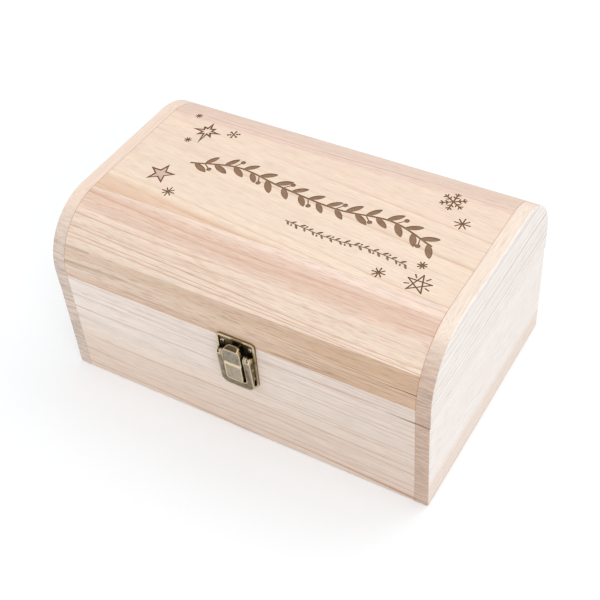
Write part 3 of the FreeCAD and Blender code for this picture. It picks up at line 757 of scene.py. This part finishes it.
rayed_star = (113.0, -39.1)
tips = spokes(rayed_star, [8.8] * 5, turn=18)
for i in range(5):
    draw(stroke(tips[i], tips[(i + 2) % 5], line_width), LINE)
inner, outer = [spokes(rayed_star, [r] * 5, turn=54) for r in (6.2, 9.0)]
for i in (0, 1, 2, 4):
    draw(stroke(inner[i], outer[i], line_width), LINE)

sprigs = (
    ("sprig_points", [(-88, 4, 0), (-55, 13, 0), (-15, 7, 0), (30, 3, 0), (70, 8, 0), (102, -2, 0)],
     {"Leaf": 14.0, "Width": 5.0, "Gap": 7.2, "Lean": math.radians(42), "Stem": 1.5, "Berry": 1.9,
      "Seed": 4}),
    ("fine_sprig_points", [(6, -22.5, 0), (40, -25.5, 0), (70, -23.5, 0), (97, -26.5, 0)],
     {"Leaf": 4.6, "Width": 1.7, "Gap": 3.4, "Lean": math.radians(45), "Stem": 0.7, "Berry": 0.8,
      "Seed": 9}))
for name, points, sizes in sprigs:
    line = bpy.data.meshes.new(name)
    line.from_pydata(points, [(i, i + 1) for i in range(len(points) - 1)], [])
    draw_grown(sprig_tree, line, sizes)
print(len(shapes), "shapes in the drawing")

# %% [markdown]
# ## The engraved crown
# The ornaments were burnt in after the lid was glued, so some of them run over the seam onto the back stave,
# where the lid begins to fall away. A boolean with hundreds of small prisms is slow and leaves slivers.
# Instead the drawing is laid out flat once, as triangles that keep every outline, and each triangle is lifted
# to the lid's surface or to the floor of its cut. Walls join the two, and the rest of each board closes
# below.

# %% Lift the drawing to the lid
(x0, y0, z0), (x1, y1, z1) = [[v / MM for v in corner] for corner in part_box("lid_top_board")]
shoulder_radius, wall, split_degrees = 47.0, 10.0, 30
axis_z = z1 - shoulder_radius
patch_depth, snap, seam_slack = 10, 1e-5, 1e-4
cut_depth = {BARE: 0.0, DEEP: 0.45, LIGHT: 0.2, LINE: 0.5}


def crown(y):
    """Height of the lid over a place, from the flat top onto the back shoulder."""
    return axis_z + math.sqrt(shoulder_radius ** 2 - max(0.0, y - y1) ** 2)


rows = [y0] + [y1 + i for i in range(patch_depth + 1)]
flat = [(x, y) for y in rows for x in (x0, x1)]
edges = [(2 * i, 2 * i + 1) for i in range(len(rows))]
edges += [(2 * i + side, 2 * i + 2 + side) for i in range(len(rows) - 1) for side in (0, 1)]
outlines = []
for points, depth in shapes:
    outlines.append(list(range(len(flat), len(flat) + len(points))))
    flat += points
net = delaunay_2d_cdt([Vector(p) for p in flat], edges, outlines, 0, snap, True)
laid, triangles, inside = net[0], net[2], net[5]
depth_of = [shapes[max(ids)][1] if ids else BARE for ids in inside]
print(len(triangles), "triangles")


# %% Tools for the two engraved boards
def crown_surface(keep):
    """The triangles of one board at their depths, with the walls of the cuts, and its edge along the seam."""
    bm, made, joins = bmesh.new(), {}, {}

    def corner(i, depth):
        if (i, depth) not in made:
            x, y = laid[i]
            made[i, depth] = bm.verts.new(Vector((x, y, crown(y) - cut_depth[depth])) * MM)
        return made[i, depth]

    for corners, depth in zip(triangles, depth_of):
        if keep(sum(laid[i].y for i in corners) / 3):
            bm.faces.new([corner(i, depth) for i in corners]).material_index = depth
            for a, b in zip(corners, corners[1:] + corners[:1]):
                joins.setdefault((min(a, b), max(a, b)), []).append(depth)
    for (a, b), depths in joins.items():
        if len(depths) == 2 and depths[0] != depths[1]:
            ways = ((a, depths[0]), (b, depths[0]), (b, depths[1]), (a, depths[1]))
            bm.faces.new([corner(*way) for way in ways]).material_index = WALL
    seam = sorted((laid[a].x, a, b, depths[0]) if laid[a].x < laid[b].x else (laid[b].x, b, a, depths[0])
                  for (a, b), depths in joins.items()
                  if abs(laid[a].y - y1) < seam_slack and abs(laid[b].y - y1) < seam_slack)
    seam_line = []
    for _, a, b, depth in seam:
        seam_line += [v for v in (corner(a, depth), corner(b, depth)) if v not in seam_line]
    return bm, seam_line


def close_board(keep, name, node, plank, crest, rim):
    """Places an engraved board: its surface, the faces that the rim draws from end to end, the two ends under
    crest and rim, and the joint below the seam."""
    bm, seam = crown_surface(keep)
    sides = [[(x0, *a), (x1, *a), (x1, *b), (x0, *b)] for a, b in zip(rim, rim[1:])]
    sides += [[(x, *p) for p in crest + rim] for x in (x0, x1)]
    sides = [[Vector(p) * MM for p in points] for points in sides]
    sides.append([v.co.copy() for v in seam] + [Vector((x, y1, z0)) * MM for x in (x1, x0)])
    for points in sides:
        bm.faces.new([bm.verts.new(p) for p in points])
    bmesh.ops.remove_doubles(bm, verts=bm.verts, dist=weld)
    bmesh.ops.recalc_face_normals(bm, faces=bm.faces)
    note_faces(bm, X)
    open_edges = sum(not e.is_manifold for e in bm.edges)
    piece = placed(bm, name, node, planks[plank], *burns)
    print(name, len(piece.data.polygons), "faces,", open_edges, "open edges")


# %% Close the top board and the back stave
close_board(lambda y: y < y1, "lid_top_board_engraved", "lid_top_board", "top",
            crest=[(y1, z1)], rim=[(y0, z1), (y0, z0), (y1, z0)])

past_patch, split_turn = math.asin(patch_depth / shoulder_radius), math.radians(90 - split_degrees)
facets = 16
outer_turns = [past_patch + (split_turn - past_patch) * i / facets for i in range(facets + 1)]
inner_turns = [split_turn * (1 - i / facets) for i in range(facets + 1)]
arcs = ((shoulder_radius, outer_turns), (shoulder_radius - wall, inner_turns))
close_board(lambda y: y > y1, "lid_back_upper_stave_board", "lid_back_upper_stave", "back_high",
            crest=[(y, crown(y)) for y in rows[1:-1]],
            rim=[(y1 + r * math.sin(a), axis_z + r * math.cos(a)) for r, turns in arcs for a in turns])

# %% [markdown]
# ## Bottom sheet
# The bottom is a thin plywood sheet that drops into a rabbet. Rotary-cut veneer shows wide, wild grain, so
# its lines are broad, soft and far apart.

# %% The plywood bottom
plywood = paulownia(
    "birch_plywood", X, Y, [(-100, "#e3cda9", 0.5), (0, "#e8d6b6", 0.6), (100, "#dfc8a2", 0.5)],
    "#c9a674", "#b3946a", place=(0, 300, 90), wander=22.0, ring_gap=14.0, pores=0.2)
bm = merged_copy("base_bottom_panel")
ease(bm, list(bm.edges), sanded)
note_faces(bm, X)
piece = placed(bm, "base_bottom_sheet", "base_bottom_panel", plywood)
print(piece.name, len(piece.data.polygons), "faces")

# %% [markdown]
# ## Antique bronze
# The latch and hinges are pressed steel with a bronze plating that was darkened with a chemical patina and
# then tumbled. Tumbling rubs the patina off wherever the metal stands proud, brightest along its edges, and
# leaves it brown or black in corners and recesses. So each metal piece carries two attributes that are worked
# out from its shape and what stands around it: how near a point is to an outer edge, and how sheltered it
# lies. Shelter by the piece's own hollows stands for their patina, and shelter by neighbouring pieces and the
# wood is painted shade. A few spots on the hook and the screws also carry painted highlight and painted
# shade.
# The material only lays the finishes over each other by them: black patina, brown bronze, rubbed grey bronze
# and bright worn edges.

# %% The bronze
def antique_bronze(name, tones, bright):
    """tones run from the most sheltered to the most open places, as (share of open sky, colour)."""
    material, t, where = new_material(name)
    worn, shelter = [
        add(t, "ShaderNodeAttribute", attribute_name=n).outputs["Fac"] for n in ("worn", "shelter")]
    # Cloudy patina in patches of about 3 mm, and tumbling marks of 0.5 mm.
    clouds = add(t, NOISE, {"Vector": where, "Scale": 1 / (3 * MM), "Detail": 3.0})
    marks = add(t, NOISE, {"Vector": where, "Scale": 1 / (0.5 * MM), "Detail": 2.0})
    # Sheltered places get the dark end of the ramp: patina in a piece's own hollows, and painted shade where
    # other pieces and the wood keep the light off.
    open_sky = add(t, MATH, (0.66, shelter), operation="SUBTRACT")
    open_sky = add(t, MATH, (clouds, 0.55, open_sky), operation="MULTIPLY_ADD")
    patina = add(t, "ShaderNodeValToRGB", {"Fac": open_sky})
    set_stops(patina, [(share, srgb(code)) for share, code in tones])
    bright_share = add(t, MATH, (marks, 0.7, 0.65), operation="MULTIPLY_ADD")
    bright_share = add(t, MATH, (bright_share, worn), operation="MULTIPLY", use_clamp=True)
    colour = add(t, MIX, {"Factor": bright_share, "A": patina, "B": srgb(bright)}, data_type="RGBA")
    rough = add(t, RANGE, {"Value": bright_share, "To Min": 0.42, "To Max": 0.25})
    dents = add(t, "ShaderNodeBump", {"Height": marks, "Strength": 0.15, "Distance": 0.05 * MM})
    surface = add(t, FINISH, {"Base Color": colour, "Metallic": 1.0, "Roughness": rough, "Normal": dents})
    add(t, OUTPUT, {"Surface": surface})
    return material


metals = {
    "antique_bronze": antique_bronze(
        "antique_bronze_plating",
        [(0.2, "#1d150d"), (0.45, "#523f2b"), (0.72, "#78654b"), (0.86, "#8b7f6e"), (1.0, "#a1988c")],
        bright="#e3d3b0"),
    "bronzed_steel": antique_bronze(
        "blackened_bronzed_steel",
        [(0.2, "#17110b"), (0.5, "#5a4834"), (0.75, "#a08e73"), (0.95, "#bfb097")],
        bright="#efe1c0"),
}
print([m.name for m in metals.values()])

# %% [markdown]
# ## Wear and shelter
# An outer edge is one where two faces meet at a clear angle and bulge outwards. Points along all of them go
# into a search tree, and the wear fades with the distance to the nearest. How sheltered a vertex lies is
# found by looking around from it: a few rays in fixed directions, and the share of them that meets metal or
# wood within a few millimetres. Rays that meet the piece's own walls stand for patina in its hollows, and
# rays that meet other pieces or the wood make painted shade.

# %% Weathering from the shape
all_points, all_faces = [], []
for node in cad:
    data, start = cad[node].data, len(all_points)
    all_points += [v.co.copy() for v in data.vertices]
    all_faces += [[start + i for i in polygon.vertices] for polygon in data.polygons]
surroundings = BVHTree.FromPolygons(all_points, all_faces)
wear_reach, look_from, rays = 0.55 * MM, 0.15 * MM, 12
golden_turn = math.pi * (3 - math.sqrt(5))
look_around = []
for i in range(rays):
    height = (2 * i + 1) / (2 * rays)
    aside = math.sqrt(1 - height * height)
    look_around.append(Vector((aside * math.cos(i * golden_turn), aside * math.sin(i * golden_turn), height)))


def weather(bm, look_reach, extra_marks=None):
    """Stores wear and shelter on the vertices; shelter from other pieces and the wood is painted shade. The
    function passed in gives a vertex's extra wear and extra patina, which hold painted highlight and painted
    shade on the hook and the screws.
    """
    bm.normal_update()
    ends = [e.verts for e in crisp_edges(bm, angle=0.35, outer_only=True)]
    marks = [a.co.lerp(b.co, i / 4) for a, b in ends for i in range(5)]
    edge_tree = KDTree(len(marks) + 1)
    for i, place in enumerate(marks):
        edge_tree.insert(place, i)
    edge_tree.balance()
    worn, shelter = [bm.verts.layers.float.new(n) for n in ("worn", "shelter")]
    for v in bm.verts:
        gap = edge_tree.find(v.co)[2] if marks else 1.0
        extra_bright, extra_dark = extra_marks(v) if extra_marks else (0.0, 0.0)
        turn, eye = Z.rotation_difference(v.normal), v.co + v.normal * look_from
        # Hits on the piece's own walls stand for patina in its hollows; hits on other pieces or the wood make
        # painted shade.
        hits = [surroundings.ray_cast(eye, turn @ ray, look_reach)[0] for ray in look_around]
        hidden = sum(h is not None for h in hits) / rays
        v[worn] = min(1.0, max(0.0, math.exp(-(gap / wear_reach) ** 2) + extra_bright)) * (1 - 0.8 * hidden)
        v[shelter] = hidden + extra_dark


print(len(all_faces), "faces to look at")

# %% [markdown]
# ## Latch and hinges
# Stamping leaves small roundings on sheet metal, and these catch the light. Each piece is a copy of its node
# with its outer edges rounded by a fraction of a millimetre. Then it is sliced into small squares, so that
# the wear and shelter can fade over a flat face: a large face has no vertices to store them. The hook's thumb
# pad is rubbed bright by use, and so is a corner of its head, and the upward-facing step above the pad gets
# a painted highlight. The top of the head and the hook's left edge, which nobody touches, keep their patina,
# and the lever grows darker and browner towards its foot.

# %% Worn metal pieces
hook_top, hook_waist, hook_left, bright_corner = 92 * MM, 80.6 * MM, 0.6 * MM, 10.4 * MM
knuckles, lever_foot, foot_height = 84 * MM, 70 * MM, 10 * MM


def slice_up(bm, pitch):
    """Cuts flat faces into squares without changing their shape."""
    for axis in (X, Y, Z):
        spots = [v.co.dot(axis) for v in bm.verts]
        for i in range(1, int((max(spots) - min(spots)) / pitch) + 1):
            parts, place = bm.verts[:] + bm.edges[:] + bm.faces[:], axis * (min(spots) + (i - 0.43) * pitch)
            bmesh.ops.bisect_plane(bm, geom=parts, dist=cut_slack, plane_co=place, plane_no=axis)


def hook_wear_and_highlight(v):
    """Extra wear and patina: a rubbed pad at the foot, a painted highlight on the upward-facing step above
    it, and a brown top and left edge with one bright corner."""
    if v.co.z > hook_top and v.normal.z > 0.3:
        return (0.8, 0.1) if v.co.x > bright_corner else (-0.4, 0.46)
    if v.co.z > hook_waist or v.normal.y > -0.4:
        return -0.6 if v.co.x < hook_left else 0.0, 0.0
    # Front faces below the waist that look upwards get painted highlight; the rest of the pad is rubbed by
    # the thumb.
    return (0.75, 0.0) if v.normal.z > 0.25 else (0.2, 0.0)


def hand_on_lever(v):
    """Extra wear and patina: rubbed knuckles at the top, and a colour that grows darker and browner towards
    the foot.
    """
    down = min(1.0, max(0.0, (lever_foot - v.co.z) / foot_height))
    return 0.3 if v.co.z > knuckles else 0.0, 0.14 * down


extra_marks_of = {"latch_hook": hook_wear_and_highlight, "latch_lever": hand_on_lever}
for node, slot in slot_of_node.items():
    if slot in metals and not node.endswith("_screws"):
        bm = merged_copy(node)
        edges = crisp_edges(bm, angle=0.6, shortest=0.9 * MM, outer_only=True)
        ease(bm, edges, size=0.25 * MM, segments=2)
        slice_up(bm, pitch=0.8 * MM)
        weather(bm, look_reach=6 * MM, extra_marks=extra_marks_of.get(node))
        piece = placed(bm, node + "_worn", node, metals[slot])
        print(node, len(piece.data.polygons), "faces")

# %% [markdown]
# ## Screws
# Twelve screws hold the hinges and the latch. The latch's have round heads that sit on the plate, the hinges'
# have flat heads that sink into the leaf, and all have a cross recess. They are the same thing with other
# sizes, so one Geometry Nodes tree makes them: a line whose thickness follows the head's profile, a cross
# that is cut out of it, a plain shank, and a copy on every given point.

# %% The tree for screws
t, size = new_tree("cross_head_screw", {
    "Head": "Float", "Height": "Float", "Seat": "Float", "Flat": "Float", "Shank": "Float", "Length": "Float",
    "Recess": "Float", "Depth": "Float", "Facing": "Vector", "Material": "Material"})
screw_tree = t
top = add(t, MATH, (size["Seat"], size["Height"]))
at_seat, at_top = [add(t, VECTOR, {"Z": z}) for z in (size["Seat"], top)]
axis = add(t, "GeometryNodeCurvePrimitiveLine", {"Start": at_seat, "End": at_top})
axis = add(t, "GeometryNodeResampleCurve", {"Curve": axis, "Count": 9})
rise = add(t, "GeometryNodeSplineParameter").outputs["Factor"]
dome = add(t, MATH, (rise, rise), operation="MULTIPLY")
dome = add(t, MATH, (dome, -0.85, 1.0), operation="MULTIPLY_ADD")
dome = add(t, MATH, (dome, 0.5), operation="POWER")
dome = add(t, MATH, (dome, size["Head"]), operation="MULTIPLY")
cone = add(t, RANGE, {"Value": rise, "To Min": size["Shank"], "To Max": size["Head"]})
profile = add(t, MIX, {"Factor": size["Flat"], "A": dome, "B": cone}, data_type="FLOAT")
ring = add(t, "GeometryNodeCurvePrimitiveCircle", {"Resolution": 24, "Radius": 1.0})
head = add(t, "GeometryNodeCurveToMesh", {
    "Curve": axis, "Profile Curve": ring, "Scale": profile, "Fill Caps": True})
reach, deep = [add(t, MATH, (size[name], 2.0), operation="MULTIPLY") for name in ("Shank", "Depth")]
bars = []
for wide, tall in ((reach, size["Recess"]), (size["Recess"], reach)):
    bar = add(t, "GeometryNodeMeshCube", {"Size": add(t, VECTOR, {"X": wide, "Y": tall, "Z": deep})})
    bars.append(add(t, MOVE, {"Geometry": bar, "Translation": at_top}))
head = add(t, "GeometryNodeMeshBoolean", {"Mesh 1": head, "Mesh 2": bars}, operation="DIFFERENCE")
half_down = add(t, MATH, (size["Length"], -0.5, size["Seat"]), operation="MULTIPLY_ADD")
shank = add(t, "GeometryNodeMeshCylinder", {"Vertices": 16, "Radius": size["Shank"], "Depth": size["Length"]})
shank = add(t, MOVE, {"Geometry": shank, "Translation": add(t, VECTOR, {"Z": half_down})})
screw = add(t, JOIN, {"Geometry": [head, shank]})
turn = add(t, "FunctionNodeAlignRotationToVector", {"Vector": size["Facing"]}, axis="Z")
screws = add(t, COPIES, {"Points": size["Geometry"], "Instance": screw, "Rotation": turn})
close_tree(t, screws, size["Material"])

# %% Twelve screws
head_radius, head_height, shank_radius, dark_centre_radius = 1.9 * MM, 0.9 * MM, 0.9 * MM, 1.0 * MM
latch_shank, hinge_shank = 8.9 * MM, 8 * MM
catch_row, base_row, hinge_row = 92.05 * MM, 64.15 * MM, 93 * MM
base_leaf, lid_leaf = parting_height - 0.15 * MM, parting_height + 0.15 * MM
hinge_middle, screw_step = 85 * MM, 7.5 * MM

pan_head = {"Head": head_radius, "Height": head_height, "Seat": 0.0, "Flat": 0.0, "Length": latch_shank}
hinge_low, hinge_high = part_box("hinge_base_screws")
sunk = hinge_high.z - hinge_low.z - hinge_shank
flat_head = {"Head": head_radius, "Height": sunk, "Seat": -sunk, "Flat": 1.0, "Length": hinge_shank}
latch_low, latch_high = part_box("latch_catch_screws")
latch_x = (latch_low.x + head_radius, latch_high.x - head_radius)
plate_face = latch_low.y + head_height
hinge_x = [side * (hinge_middle + step) for side in (-1, 1) for step in (-screw_step, screw_step)]
seats = {
    "latch_catch_screws": (pan_head, -Y, [(x, plate_face, catch_row) for x in latch_x]),
    "latch_base_screws": (pan_head, -Y, [(x, plate_face, base_row) for x in latch_x]),
    "hinge_base_screws": (flat_head, Z, [(x, hinge_row, base_leaf) for x in hinge_x]),
    "hinge_lid_screws": (flat_head, -Z, [(x, hinge_row, lid_leaf) for x in hinge_x]),
}
for node, (sizes, facing_way, places) in seats.items():
    points = bpy.data.meshes.new(node + "_seats")
    points.from_pydata(places, [], [])
    steel = metals["bronzed_steel"]
    made = grown(screw_tree, points, {
        **sizes, "Shank": shank_radius, "Recess": 0.6 * MM, "Depth": 0.5 * MM, "Facing": tuple(facing_way),
        "Material": steel})
    bm = bmesh.new()
    bm.from_mesh(made)
    bmesh.ops.remove_doubles(bm, verts=bm.verts, dist=weld)
    centres = [Vector(place) for place in places]

    def screw_ring_highlight_and_recess_shade(v):
        """Extra wear and patina: a painted highlight as a bright ring round painted shade in and around the
        recess.
        """
        away = min((v.co - c - facing_way * (v.co - c).dot(facing_way)).length for c in centres)
        # Painted shade near each screw's axis, over the recess, and painted highlight on the rest of the
        # head.
        return (-1.0, 0.6) if away < dark_centre_radius else (0.75, 0.0)

    weather(bm, look_reach=1.5 * MM, extra_marks=screw_ring_highlight_and_recess_shade)
    piece = placed(bm, node + "_turned", node, steel)
    boxes = (piece.bound_box[0], piece.bound_box[6], *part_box(node))
    print(node, "own box and CAD box in mm:", [[round(v / MM, 2) for v in corner] for corner in boxes])
